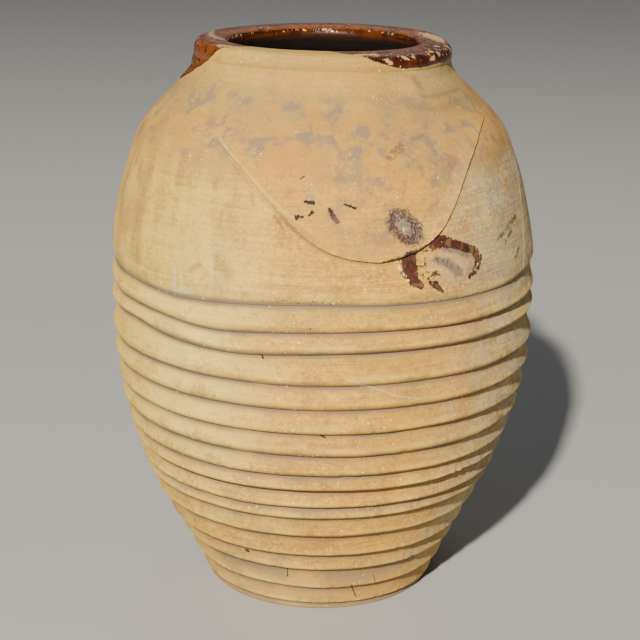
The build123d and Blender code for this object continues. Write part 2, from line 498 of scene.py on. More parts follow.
def build_garland_tree():
    """Lays a strip of clay along a hanging line on the shoulder. The line is the modifier's own mesh:
    points (azimuth in radians, 0, height). The strip's outer edge is crisp, its inner slope is gentle."""
    kinds = {
        "Geometry": "NodeSocketGeometry",
        "Steps along": "NodeSocketInt",
        "Steps across": "NodeSocketInt",
        "Width": "NodeSocketFloat",
        "Rise": "NodeSocketFloat",
        "Buried": "NodeSocketFloat",
        "Turn": "NodeSocketFloat",
        "Material": "NodeSocketMaterial",
    }
    tree, given = new_shape_tree("laid_garland", kinds)
    along, across = given["Steps along"], given["Steps across"]
    grid, column, row = spread_grid(tree, along, across)
    way = column / along
    round_way = row / across * row.less(across - 0.5)
    curve = tree.add("GeometryNodeMeshToCurve", {}, {"Mesh": given["Geometry"]})
    settings = {"mode": "FACTOR", "use_all_curves": True}
    sampled = tree.add("GeometryNodeSampleCurve", settings, {"Curves": curve, "Factor": way}, "Position")
    tangent = tree.outlets(sampled)["Tangent"]
    over = (round_way / TOP_STEPS_SHARE).below(1.0) ** 1.7
    under = ((round_way - TOP_STEPS_SHARE) / (1 - TOP_STEPS_SHARE)).above(0.0)
    span = over - under
    taper = way.ramp(0.0, 0.12) * (1 - way.ramp(0.88, 1.0))
    left_arm = way.ramp(0.3, 0.55) * 0.25 + 0.45
    crisp = way.ramp(0.22, 0.36)
    lift = (span.ramp(0.0, 0.05) * crisp + span.ramp(0.0, 0.2) * (1 - crisp)) * (1 - span) ** 1.7
    lift = lift * given["Rise"] * taper
    sunk = (under * math.pi).sine() * given["Buried"] * taper
    lift = lift * (1 - under.ramp(0.0, 0.001)) - sunk - 0.0002
    inward = span * given["Width"] * left_arm * (taper * 0.9 + 0.1)
    inward = inward * way.ramp(0.0, 0.01) * (1 - way.ramp(0.99, 1.0))
    slope_x = tangent.part("X") * REACH
    slope_z = tangent.part("Z")
    length = (slope_x * slope_x + slope_z * slope_z).root()
    azimuth = sampled.part("X") - inward * (slope_z / length) / REACH + given["Turn"]
    height = sampled.part("Z") + inward * (slope_x / length)
    places = potters_hand(tree, azimuth, shoulder_radius(height) + lift, height, lift * 0)
    finish_shape(tree, grid, {"edge": 0.0, "groove": 0.0}, places, GARLAND_CREASE, given["Material"])
    return tree.tree


def smooth_line(points, steps):
    """More points on a smooth curve through the points that are given."""
    points = [Vector(point) for point in points]
    padded = [points[0] * 2 - points[1]] + points + [points[-1] * 2 - points[-2]]
    line = []
    for before, start, end, after in zip(padded, padded[1:], padded[2:], padded[3:]):
        for step in range(steps):
            t = step / steps
            bend = before * 2 - start * 5 + end * 4 - after
            twist = start * 3 - before - end * 3 + after
            line.append((start * 2 + (end - before) * t + bend * t * t + twist * t * t * t) / 2)
    return line + [points[-1]]


def face_of_course(lower, upper, ledge):
    """The outer side of a wall ring, from its seat under the next ledge down a hollow cove to its
    own ridge, and round its nose. Each point is (radius, height, groove, edge)."""
    low, low_overhang, crisp_nose = lower
    high, high_overhang, _ = upper
    share, tall, rolled = ledge
    steps = max(5, round((high - low - crisp_nose) / FACE_STEP))
    nose = min(crisp_nose * tall, (high - low) * 0.42)
    points = []
    for step in range(steps + 1):
        height = high + (low + nose - high) * step / steps
        way = (height - low - nose) / (high - low - nose)
        radius = body_radius(height) - high_overhang * share * math.sin(way * math.pi / 2)
        # groove: dirt and painted shade under the next ledge; edge: crumbling, wear and painted highlight at
        # the ridge
        groove = math.exp(-(high - height) / (0.0066 - high * 0.0065)) if high_overhang else 0.0
        edge = math.exp(-(height - low - nose) / 0.005) * 0.7 if low_overhang else 0.0
        points.append((radius, height, groove, edge))
    if not low_overhang:
        return points
    tip = points[-1][0]
    seat = body_radius(low) - low_overhang * share
    width = (tip - seat) * NOSE_SHARE
    dirt_and_shade_reach = crisp_nose * 0.9 + 0.0020
    for step in range(1, NOSE_STEPS + 1):
        way = step / NOSE_STEPS
        turn = math.pi / 2 * way
        if rolled:
            radius = tip - width * way * way
            height = low + nose * (1 - way)
        else:
            radius = tip - width * (1 - math.cos(turn))
            height = low + nose - (nose + LEDGE_DROOP * share) * math.sin(turn)
        groove = 0.85 * max(0.0, 1 - (height - low) / dirt_and_shade_reach) ** 1.2
        points.append((radius, height, min(groove, 0.85), 0.7 * math.cos(turn)))
    gap = points[-1][0] - seat
    sag = 0.2 if rolled else 0.7
    points.append((seat + gap * 0.35, low - LEDGE_DROOP * share * sag, 1.0, 0.0))
    points.append((seat, low, 1.0, 0.0))
    return points


def inner_side(low, high, steps=3):
    """The hidden inner side of a ring, from the bottom up."""
    heights = [low + (high - low) * step / steps for step in range(steps + 1)]
    return [(inner_radius(height), height, 0.0, 0.0) for height in heights]


def course_section(lower, upper):
    """The loop of a ring of the wall or shoulder, on the shallow side and on the deep side."""
    shallow, deep = (face_of_course(lower, upper, ledge) for ledge in (SOFT_LEDGE, CRISP_LEDGE))
    inside = inner_side(lower[0], upper[0])
    return shallow + inside, deep + inside


def plain(points):
    """Points without grooves or edges."""
    return [(point[0], point[1], 0.0, 0.0) for point in points]


def make_ring(node, finish, section, material):
    """One ring of the jar: bakes the spun section to a mesh and lets it stand for its node."""
    name = f"{node}_{finish}"
    shallow, deep = (list(reversed(loop)) for loop in section)
    mesh = bpy.data.meshes.new(name)
    count = len(shallow)
    loop = [(number, (number + 1) % count) for number in range(count)]
    mesh.from_pydata([(point[0], 0, point[1]) for point in shallow], loop, [])
    places = mesh.attributes.new("deep", "FLOAT_VECTOR", "POINT")
    places.data.foreach_set("vector", [value for point in deep for value in (point[0], 0, point[1])])
    for mark, column in (("groove", 2), ("edge", 3)):
        marks = mesh.attributes.new(mark, "FLOAT", "POINT")
        marks.data.foreach_set("value", [point[column] for point in shallow])
    shaped_piece(name, mesh, RING_TREE, {"Steps around": STEPS_AROUND, "Material": material}, node)


def make_garland(node, turn, material):
    """A garland, turned round the jar from the place of the front one."""
    places = [(math.radians(azimuth), 0, height) for azimuth, height in GARLAND_LINE]
    line = smooth_line(places, GARLAND_LINE_STEPS)
    mesh = bpy.data.meshes.new(node + "_clay")
    mesh.from_pydata(line, [(number, number + 1) for number in range(len(line) - 1)], [])
    inputs = {
        "Steps along": GARLAND_STEPS_ALONG,
        "Steps across": GARLAND_STEPS_ACROSS,
        "Width": GARLAND_WIDTH,
        "Rise": GARLAND_RISE,
        "Buried": GARLAND_BURIED,
        "Turn": math.radians(turn),
        "Material": material,
    }
    shaped_piece(node + "_clay", mesh, GARLAND_TREE, inputs, node)


def shaped_piece(name, mesh, tree, inputs, node):
    """Runs a geometry tree on a mesh and keeps its result as a plain mesh that stands for a node."""
    piece = bpy.data.objects.new(name, mesh)
    bpy.context.scene.collection.objects.link(piece)
    modifier = piece.modifiers.new("shape", "NODES")
    modifier.node_group = tree
    named = {item.name: item.identifier for item in tree.interface.items_tree if item.in_out == "INPUT"}
    for label, value in inputs.items():
        modifier[named[label]] = value
    graph = bpy.context.evaluated_depsgraph_get()
    shaped = piece.evaluated_get(graph)
    baked = bpy.data.meshes.new_from_object(shaped, preserve_all_data_layers=True, depsgraph=graph)
    piece.modifiers.clear()
    piece.data = baked
    while baked.materials[0] is None:
        baked.materials.pop(index=0)
    baked.name = name
    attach(piece, "root")
    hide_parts(node)


def paint(red, green, blue):
    """A colour as the eye reads it, 0 to 255, in the light's own linear measure."""

    def linear(level):
        share = level / 255
        return share / 12.92 if share <= 0.04045 else ((share + 0.055) / 1.055) ** 2.4

    return (linear(red), linear(green), linear(blue), 1.0)


# The ground of the clay

BUFF = paint(213, 158, 50)
ORANGE_CLAY = paint(215, 148, 38)
PALE_CLAY = paint(236, 199, 86)
YELLOW_CLAY = paint(208, 178, 72)
# Cooler, greyer clay for the right side, turned from the key light: a painted skylit tint
SKYLIT_SIDE_CLAY = paint(178, 170, 142)
GREY_CLAY = paint(140, 113, 64)
# A warm orange for painted rim light along the left edge
RIM_LIT_ORANGE = paint(240, 184, 92)

# Clay of single parts of the jar

DUSTY_CLAY = paint(178, 141, 68)
SMOKED_CLAY = paint(158, 126, 72)
FOOT_CLAY = paint(198, 154, 80)
SUNNY_CLAY = paint(246, 218, 112)
WARM_BUFF = paint(200, 142, 34)
STRAW_CLAY = paint(196, 176, 92)
BLEACHED_CLAY = paint(244, 218, 128)
RUBBED_CLAY = paint(206, 196, 168)
SHADED_CLAY = paint(108, 90, 64)
SCORCHED_CLAY = paint(130, 88, 42)
# A pale grey for the painted highlight along the front inner crest of the lip
CREST_HIGHLIGHT_GREY = paint(182, 170, 146)
CHIP_BUFF = paint(196, 152, 112)

# Stains, dirt and lime, the greys of dirt and painted shade in the grooves, and a white for lime and one
# painted glint

BLUE_GREY = paint(132, 114, 88)
VIOLET_GREY = paint(154, 121, 78)
RUST_STAIN = paint(182, 122, 44)
BROWN_STAIN = paint(150, 108, 44)
DIRT_AND_SHADE_GREY = paint(128, 110, 86)
GRIME_AND_SHADE = paint(80, 69, 57)
DEEP_GRIME_AND_SHADE = paint(36, 30, 25)
CRACK_DARK = paint(48, 32, 23)
LIME_AND_GLINT_WHITE = paint(255, 230, 160)
CHALK = paint(198, 196, 186)
THREAD_PALE = paint(248, 226, 178)
BRUISE = paint(40, 34, 40)
RED_BRUISE = paint(108, 74, 64)
PITTED_GREY = paint(104, 84, 74)
SCUFF_GREY = paint(96, 88, 82)

# The splash of glaze and the scar on the shoulder

BURNT_RED = paint(86, 42, 28)
BURNT_DARK = paint(54, 32, 22)
SLIP_GREY = paint(122, 109, 92)
WORN_SKIN = paint(142, 108, 74)
SCAR_GREY = paint(84, 68, 62)
SCAR_RED = paint(104, 60, 44)
SCAR_PALE = paint(196, 178, 146)
SCAR_HEART = paint(164, 143, 108)

# The glaze of the rim and the inside

# Near black: for the dark rings of the inside glaze and for its painted shade
GLAZE_BLACK_AND_SHADE = paint(14, 8, 5)
GLAZE_DARK = paint(46, 20, 10)
GLAZE_INNER = paint(72, 31, 10)
GLAZE_BROWN = paint(84, 34, 10)
GLAZE_AMBER = paint(122, 62, 9)
GLAZE_WORN = paint(128, 79, 45)
WORN_CREST = paint(164, 144, 116)


class Where:
    """Where a shaded point lies on the jar, and the marks that are placed by it."""

    def __init__(self, tree, over_lip=False):
        self.tree = tree
        self.place = tree.add("ShaderNodeTexCoord", {}, {}, "Object")
        x, y, z = (self.place.part(letter) for letter in "XYZ")
        self.azimuth = tree.add("ShaderNodeMath", {"operation": "ARCTAN2"}, {0: x, 1: y * -1})
        self.radius = (x * x + y * y).root()
        self.side = x / self.radius
        self.toward = y * -1 / self.radius
        self.left = self.side * -1
        self.behind = self.toward * -1
        self.height = z
        if over_lip:
            tilt = rim_tilt(self.side, self.toward, self.radius)
            self.height = z + (LIP_TURN_RADIUS - self.radius).above(0.0) + tilt * RIM_TILT
        self.ragged = self.noise(260.0, 3.0, 0.7) * 2 - 1
        self.fine = self.noise(170.0, 3.0, 0.65)

    def noise(self, scale, detail=2.0, roughness=0.5):
        return self.tree.noise(self.place, scale, detail, roughness)

    def turned(self, start, end):
        """0 at one azimuth and 1 at the other, both in degrees."""
        return self.azimuth.ramp(math.radians(start), math.radians(end))

    def stretched(self, around, up):
        """A place for patterns that are drawn out round the jar or up it."""
        return self.tree.vector(self.side * around, self.toward * around, self.height * up)

    def grainy(self, noise):
        """A soft noise whose patches break up into grain along their edges."""
        return noise + (self.fine - 0.5) * 0.35

    def edged(self, reach, soft, ragged):
        """1 where a reach is under 1, with an edge as soft and as ragged as is asked for."""
        return 1 - (reach + self.ragged * ragged).ramp(1 - soft, 1 + soft)

    def spot(self, azimuth, height, half_width, half_height, turn=0.0, soft=0.2, ragged=1.2):
        """1 inside an oval on the surface and 0 outside it, with a ragged edge."""
        across = (self.azimuth - math.radians(azimuth)) * self.radius
        up = self.height - height
        cosine, sine = math.cos(math.radians(turn)), math.sin(math.radians(turn))
        along = (across * cosine + up * sine) / half_width
        over = (up * cosine - across * sine) / half_height
        return self.edged((along * along + over * over).root(), soft, ragged)

    def stroke(self, start, end, half_width, end_half_width, soft, ragged):
        """1 along a straight line between two places on the surface, with a ragged edge."""
        run_across, run_up = math.radians(end[0] - start[0]) * REACH, end[1] - start[1]
        across = (self.azimuth - math.radians(start[0])) * REACH
        up = self.height - start[1]
        way = (across * run_across + up * run_up) / (run_across ** 2 + run_up ** 2)
        way = way.above(0.0).below(1.0)
        away_across, away_up = across - way * run_across, up - way * run_up
        half = way * (end_half_width - half_width) + half_width
        return self.edged((away_across * away_across + away_up * away_up).root() / half, soft, ragged)

    def path(self, places, half_widths, soft=0.4, ragged=1.2):
        """A stroke from place to place, as wide all along or with a width for each place."""
        if isinstance(half_widths, float):
            half_widths = [half_widths] * len(places)
        mask = None
        for start, end, width, end_width in zip(places, places[1:], half_widths, half_widths[1:]):
            part = self.stroke(start, end, width, end_width, soft, ragged)
            mask = part if mask is None else mask.above(part)
        return mask

    def paths(self, *rows):
        """Several paths in one mask. A row holds what path takes."""
        mask = self.path(*rows[0])
        for row in rows[1:]:
            mask = mask.above(self.path(*row))
        return mask

    def specks(self, scale, size, share):
        """Small round grains, each about size over scale in radius, in a share of the cells."""
        inputs = {"Vector": self.place, "Scale": scale}
        cells = self.tree.add("ShaderNodeTexVoronoi", {"feature": "F1"}, inputs, "Distance")
        chosen = self.tree.outlets(cells)["Color"].part("X").ramp(1 - share, 1.02 - share)
        return (1 - cells.ramp(size * 0.6, size)) * chosen


def new_material(name):
    material = bpy.data.materials.new(name)
    material.use_nodes = True
    material.node_tree.nodes.clear()
    return material, Tree(material.node_tree)


def give_finish(tree, relief, inputs):
    """Ends a material: its surface, with its relief in metres."""
    normal = tree.add("ShaderNodeBump", {}, {"Strength": 1.0, "Distance": 1.0, "Height": relief})
    surface = tree.add("ShaderNodeBsdfPrincipled", {}, {**inputs, "Normal": normal})
    tree.add("ShaderNodeOutputMaterial", {}, {"Surface": surface})


def garland_line(where):
    """The height of the garland's lower edge at each azimuth, round the whole jar."""
    inputs = {0: where.azimuth - math.radians(GARLAND_MIDDLE), 1: math.pi / 2, 2: -math.pi / 2}
    away = where.tree.add("ShaderNodeMath", {"operation": "WRAP"}, inputs)
    left = (away * -1).above(0.0).ramp(0.0, math.radians(GARLAND_LEFT_REACH))
    right = away.above(0.0).ramp(0.0, math.radians(GARLAND_RIGHT_REACH))
    return left * GARLAND_CLIMB + right * GARLAND_CLIMB + GARLAND_LOW


def clay_ground(where):
    """The fired clay before its marks: its colour and its relief in metres."""
    tree = where.tree
    wander = where.noise(5.5, 3.0, 0.55)
    cloud = where.noise(24.0, 4.0, 0.62)
    stain = where.noise(15.0, 3.0, 0.6)
    streak = tree.noise(where.stretched(1.6, 150), 1.0, 3.0, 0.6)
    scratch = tree.noise(where.stretched(5, 430), 1.0, 2.0, 0.6)
    blot = where.noise(72.0, 4.0, 0.7)
    grain = where.noise(400.0, 2.0, 0.7)
    left = where.left.ramp(0.1, 0.65) * (where.height.ramp(0.05, 0.35) * 0.7 + 0.15)
    colour = tree.layered(
        tree.blend(wander.ramp(0.36, 0.62), BUFF, ORANGE_CLAY),
        (left, YELLOW_CLAY),
        # The right side painted cooler and greyer: painted skylit shade
        (where.side.ramp(0.35, 0.85) * 0.9, SKYLIT_SIDE_CLAY),
        (where.grainy(stain).ramp(0.54, 0.72) * 0.55, RUST_STAIN),
        (where.grainy(cloud).ramp(0.5, 0.74) * 0.7, GREY_CLAY),
        (cloud.ramp(0.48, 0.26) * 0.55, PALE_CLAY),
        (blot.ramp(0.52, 0.7) * 0.45, GREY_CLAY),
        (blot.ramp(0.48, 0.28) * 0.4, PALE_CLAY),
        (streak.ramp(0.46, 0.76) * 0.5, GREY_CLAY),
        (streak.ramp(0.46, 0.22) * 0.4, PALE_CLAY),
        (scratch.ramp(0.5, 0.74) * 0.6, GREY_CLAY),
        (scratch.ramp(0.46, 0.24) * 0.55, PALE_CLAY),
        (where.fine.ramp(0.52, 0.7) * 0.5, GREY_CLAY),
        (where.fine.ramp(0.46, 0.3) * 0.4, PALE_CLAY),
        (grain.ramp(0.54, 0.72) * 0.7, GREY_CLAY),
        (grain.ramp(0.46, 0.28) * 0.6, PALE_CLAY),
        # Painted rim light: a warm band along the left edge
        (where.left.ramp(0.9, 0.995) * 0.8, RIM_LIT_ORANGE),
    )
    relief = streak * 0.00034 + scratch * 0.00012 + where.fine * 0.0003 + cloud * 0.0005 + grain * 0.0001
    return colour, relief


def finish_clay(where, colour, relief, roughness=0.9):
    """Adds the lime grit and the pits, and ends the material."""
    tree = where.tree
    clusters = where.noise(11.0, 2.0).ramp(0.43, 0.58)
    lime = (where.specks(95.0, 0.17, 0.14) * clusters).above(where.specks(170.0, 0.2, 0.24) * clusters)
    pits = where.specks(83.0, 0.09, 0.14).above(where.specks(230.0, 0.15, 0.08))
    colour = tree.layered(colour, (lime * 0.8, LIME_AND_GLINT_WHITE), (pits * 0.65, GRIME_AND_SHADE))
    relief = relief + lime * 0.0003 - pits * 0.0006
    give_finish(tree, relief, {"Base Color": colour, "Roughness": roughness})


def seam_dirt_and_shade(where, colour):
    """Grime and painted shade in the grooves under the ledges, lighter tips of the ledges from wear and
    painted highlight, and smudges and lime grit on the tips of the ledges.
    """
    tree = where.tree
    groove = tree.add("ShaderNodeAttribute", {"attribute_name": "groove"}, {}, "Fac")
    edge = tree.add("ShaderNodeAttribute", {"attribute_name": "edge"}, {}, "Fac")
    patchy = where.noise(14.0, 3.0)
    smudge = edge.ramp(0.02, 0.3) * where.grainy(where.noise(21.0, 3.0, 0.6)).ramp(0.52, 0.66)
    grit = where.specks(120.0, 0.2, 0.45) * edge.ramp(0.01, 0.25)
    grit = grit * where.noise(17.0, 1.0).ramp(0.42, 0.57)
    return tree.layered(
        colour,
        # Lighter ledge tips: wear and painted highlight
        (edge.ramp(0.15, 0.7) * patchy.ramp(0.6, 0.4) * 0.45, PALE_CLAY),
        # Grey, dark and near black in the grooves under the ledges: dirt and painted shade
        (groove.ramp(0.02, 0.55) * (patchy.ramp(0.25, 0.55) * 0.35 + 0.55), DIRT_AND_SHADE_GREY),
        (groove.ramp(0.6, 0.95) * 0.75, GRIME_AND_SHADE),
        (groove.ramp(0.93, 1.0) * patchy.ramp(0.36, 0.56) * 0.8, DEEP_GRIME_AND_SHADE),
        (smudge * 0.5, SMOKED_CLAY),
        (grit * 0.85, LIME_AND_GLINT_WHITE),
    )


def dusty_top(where, colour, share):
    """The dirt of the closing-in part of the jar: dusty clay with violet and grey patches."""
    tree = where.tree
    mottle = where.noise(30.0, 3.0, 0.55)
    patch = where.noise(41.0, 2.0, 0.5)
    smoke = where.noise(10.0, 2.0, 0.5)
    haze = where.grainy(where.noise(17.0, 3.0, 0.6))
    worn_clean = where.height.ramp(0.575, 0.625) * (1 - where.height.ramp(0.685, 0.725))
    high = where.height.ramp(0.56, 0.68) * 0.55 + 0.3
    return tree.layered(
        colour,
        (share * (0.46 - worn_clean * 0.34), DUSTY_CLAY),
        (share * worn_clean * 0.35, ORANGE_CLAY),
        (share * haze.ramp(0.48, 0.64) * (0.62 - worn_clean * 0.2), SMOKED_CLAY),
        (share * mottle.ramp(0.46, 0.3) * 0.6, BUFF),
        (share * smoke.ramp(0.58, 0.42) * where.grainy(mottle).ramp(0.52, 0.38) * 0.5, RUST_STAIN),
        (share * where.grainy(mottle).ramp(0.5, 0.64) * smoke.ramp(0.38, 0.54) * 0.8, VIOLET_GREY),
        (share * where.grainy(patch).ramp(0.52, 0.68) * high, BLUE_GREY),
    )


def make_wall_clay():
    """Clay of the base and the ribbed wall."""
    material, tree = new_material("buff_clay_wall")
    where = Where(tree)
    colour, relief = clay_ground(where)
    damp = where.noise(13.0, 2.0)
    left = where.left.ramp(0.0, 0.6)
    pulled = where.grainy(tree.noise(where.stretched(4.5, 34), 1.0, 3.0, 0.6))
    left_front = swell_round(where.azimuth, -36, 20) * where.height.ramp(0.2, 0.32)
    violet = where.paths(
        ([(-47.0, 0.072), (-30.0, 0.069), (-15.0, 0.065)], 0.011, 0.9, 1.4),
        ([(4.0, 0.062), (18.0, 0.059), (32.0, 0.066), (45.0, 0.075)], (0.007, 0.012, 0.013, 0.012), 0.9, 1.4),
    )
    colour = tree.layered(
        colour,
        ((1 - (where.height + damp * 0.06).ramp(0.06, 0.16)) * 0.7, FOOT_CLAY),
        (left * where.height.ramp(0.12, 0.3) * 0.4, PALE_CLAY),
        (left_front * 0.4, SUNNY_CLAY),
        (swell_round(where.azimuth, 30, 24) * 0.32, WARM_BUFF),
        (pulled.ramp(0.5, 0.68) * 0.45, RUST_STAIN),
        (pulled.ramp(0.48, 0.34) * left * 0.5, STRAW_CLAY),
        (violet * 0.65, BLUE_GREY),
    )
    colour = seam_dirt_and_shade(where, colour)
    rubbed = where.path(
        [(6.0, 0.392), (11.0, 0.381), (19.5, 0.363), (25.0, 0.357)], (0.0005, 0.0011, 0.0008, 0.0004), 0.9
    )
    crumbling = where.path([(-3.6, 0.456), (0.0, 0.4575), (3.4, 0.4575)], 0.0028, 0.6)
    open_seam = swell(where.height, 0.2225, 0.003) * (where.azimuth + 0.3).size().ramp(0.75, 0.45)
    marks = where.paths(
        ([(-15.3, 0.4185), (-14.7, 0.4165), (-14.6, 0.413)], 0.0009),
        ([(-13.0, 0.079), (-13.3, 0.06)], 0.0008),
        ([(14.5, 0.046), (16.0, 0.034), (17.8, 0.021)], 0.0009),
        ([(24.6, 0.056), (25.6, 0.043)], 0.0007),
        ([(0.0, 0.311), (1.5, 0.306)], 0.0011),
    )
    marks = marks.above(crumbling * where.specks(240.0, 0.3, 0.35))
    marks = marks.above(where.spot(-28.8, 0.097, 0.003, 0.003)).above(open_seam.ramp(0.5, 0.9))
    colour = tree.layered(
        colour,
        (where.spot(26.0, 0.346, 0.012, 0.005, soft=0.6) * 0.6, BLUE_GREY),
        (rubbed * 0.45, RUBBED_CLAY),
        (crumbling * where.specks(300.0, 0.36, 0.5), LIME_AND_GLINT_WHITE),
        (marks * 0.9, DEEP_GRIME_AND_SHADE),
    )
    finish_clay(where, colour, relief - marks * 0.0015)
    return material


def glaze_splash(where, colour):
    """The brown glaze that ran over the garland, worn through in its middle, and the crack it lies in."""
    tree = where.tree
    chipped = where.noise(170.0, 3.0, 0.7)
    grey = where.paths(
        ([(32.8, 0.5515), (36.4, 0.5465), (39.6, 0.537)], (0.006, 0.0055, 0.004), 0.5, 0.7),
        ([(29.6, 0.538), (33.0, 0.531), (36.6, 0.517)], (0.0045, 0.006, 0.006), 0.5, 0.7),
    )
    worn_patch = where.path(
        [(39.6, 0.54), (41.6, 0.528), (40.4, 0.516), (38.6, 0.51)], (0.006, 0.0075, 0.007, 0.0035), 0.4, 0.8
    )
    worn_end = where.path(
        [(42.0, 0.541), (43.6, 0.53), (42.6, 0.518), (40.0, 0.509)], (0.0058, 0.0056, 0.005, 0.003), 0.25, 0.8
    )
    fringe = where.paths(
        ([(26.0, 0.53), (26.6, 0.52), (29.6, 0.517)], 0.0055, 0.8),
        ([(26.6, 0.546), (28.4, 0.552)], 0.0045, 0.8),
    )
    splash = where.paths(
        ([(29.2, 0.557), (31.6, 0.56), (36.0, 0.553)], (0.0066, 0.0075, 0.0055), 0.15, 0.6),
        ([(36.0, 0.553), (41.5, 0.542)], 0.0055, 0.15, 0.6),
        ([(22.1, 0.542), (22.0, 0.528), (23.2, 0.515), (25.0, 0.507)], (0.01, 0.01, 0.007, 0.004), 0.12, 0.6),
        ([(27.6, 0.51), (29.0, 0.5065), (31.2, 0.496)], (0.0024, 0.0044, 0.0018), 0.3, 0.7),
    )
    splash = splash.above(worn_end * chipped.ramp(0.4, 0.47)).above(fringe * chipped.ramp(0.53, 0.58))
    thin = where.grainy(where.noise(90.0, 2.0)).ramp(0.52, 0.66)
    rind = splash * (1 - splash) * 4
    burnt = tree.blend(chipped.ramp(0.46, 0.62), BURNT_RED, BURNT_DARK)
    burnt = tree.layered(burnt, (thin * 0.4, VIOLET_GREY), (rind * 0.8, BURNT_DARK))
    crack = where.path(
        [(15.3, 0.5415), (19.9, 0.5445), (24.0, 0.551), (28.1, 0.559), (31.9, 0.574)],
        (0.0012, 0.003, 0.003, 0.0018, 0.0006),
        0.5,
        1.6,
    )
    flaked = where.path([(18.6, 0.54), (19.6, 0.53), (21.4, 0.517)], 0.0022, 0.6, 2.4)
    colour = tree.layered(
        colour,
        (where.spot(33.5, 0.533, 0.034, 0.019, -28, soft=0.6) * 0.3, CHIP_BUFF),
        (grey * 0.9, SLIP_GREY),
        (grey * chipped.ramp(0.54, 0.6) * 0.5, BRUISE),
        (worn_patch * 0.55, WORN_SKIN),
        (splash.ramp(0.05, 0.6), burnt),
        (flaked * chipped.ramp(0.5, 0.56), LIME_AND_GLINT_WHITE),
        (crack * 0.9, CRACK_DARK),
    )
    return colour, splash, crack


def boss_scar(where, colour):
    """The scar inside the garland's bow, where a boss came away."""
    tree = where.tree
    slanted = where.azimuth * 36 + where.height * 90
    crumbs = tree.noise(tree.vector(slanted, where.azimuth * 55, where.height * -150), 1.7, 4.0, 0.8)
    patches = where.noise(60.0, 2.0)
    halo = where.path([(20.2, 0.588), (23.0, 0.575)], 0.0165, 0.25, 0.6)
    heart = where.path([(20.5, 0.585), (21.8, 0.579)], (0.0068, 0.0062), 0.5, 1.4)
    ring = (halo - heart).above(0.0)
    crescent = where.path([(18.0, 0.594), (18.4, 0.582), (20.4, 0.57), (22.6, 0.564)], 0.0036, 0.4)
    colour = tree.layered(
        colour,
        (halo * 0.95, DIRT_AND_SHADE_GREY),
        (ring * crumbs.ramp(0.42, 0.5) * 0.9, SCAR_GREY),
        (crescent * patches.ramp(0.4, 0.5) * 0.8, SCAR_RED),
        (halo * crumbs.ramp(0.54, 0.6), BURNT_DARK),
        (halo * crumbs.ramp(0.42, 0.36) * 0.8, SCAR_PALE),
        (heart * (0.85 - crumbs.ramp(0.46, 0.56) * 0.45), SCAR_HEART),
        # A painted glint on the scar's pale heart
        (where.spot(21.2, 0.579, 0.0013, 0.0022, 0, 0.3), LIME_AND_GLINT_WHITE),
    )
    return colour, halo * crumbs


def shoulder_stains_and_light(where, colour, off, inside, upper):
    """Bleached, rusty and brown stains of the shoulder, and the painted highlight, painted shade and painted
    shadow along the garland's arm and lower edge.
    """
    tree = where.tree
    drips = where.grainy(tree.noise(tree.vector(where.azimuth * 4.5, where.height * 1.5, 0.0), 2.0, 3.0))
    low_left = (1 - inside) * where.left.ramp(0.0, 0.35) * (1 - upper)
    rusty = where.grainy(tree.noise(tree.vector(where.azimuth * 2, where.height * 5, 0.5), 5.0, 3.0, 0.6))
    brown = where.paths(
        ([(-27.0, 0.54), (-26.4, 0.528)], 0.005, 0.9),
        ([(-32.0, 0.527), (-34.5, 0.518)], 0.0045, 0.9),
        ([(-25.0, 0.53), (-23.5, 0.52)], 0.008, 1.0),
    )
    line = where.path([(10.7, 0.513), (10.4, 0.503)], 0.0008, 0.8)
    hook = where.path([(-39.5, 0.516), (-39.9, 0.484)], (0.0014, 0.0024), 0.9)
    hook = hook.above(where.spot(-37.4, 0.4885, 0.017, 0.0045, soft=0.9))
    arm = where.turned(-37, -31) * where.turned(2, -9)
    shade = where.path(
        [(-10.4, 0.5955), (-5.4, 0.5745), (-0.3, 0.5575), (4.6, 0.5473), (9.5, 0.5417), (15.0, 0.5395)],
        0.0021,
        0.9,
        0.6,
    )
    scorch = where.path([(-12.2, 0.597), (-11.0, 0.5905), (-9.6, 0.582)], (0.0012, 0.0024, 0.0012), 0.6)
    scorch = scorch.above(where.path([(-18.6, 0.621), (-18.2, 0.609)], (0.0035, 0.0018), 1.0) * 0.5)
    return tree.layered(
        colour,
        (where.spot(-27.0, 0.522, 0.045, 0.034, soft=1.0) * 0.4, BLEACHED_CLAY),
        (drips.ramp(0.44, 0.66) * low_left * 0.36, PALE_CLAY),
        (drips.ramp(0.46, 0.3) * low_left * 0.45, GREY_CLAY),
        (rusty.ramp(0.54, 0.68) * (1 - inside) * 0.45, RUST_STAIN),
        (brown * 0.55, BROWN_STAIN),
        (line * 0.35, LIME_AND_GLINT_WHITE),
        (hook * 0.5, CHALK),
        # Painted highlight along the crest of the garland's arm, painted shade below it, and a painted shadow
        # line under the garland's lower edge
        (swell(off, 0.0065, 0.0018) * arm * 0.45, PALE_CLAY),
        (swell(off, -0.0035, 0.004) * arm * 0.35, GREY_CLAY),
        (shade * 0.6, SHADED_CLAY),
        (scorch * 0.7, SCORCHED_CLAY),
    )


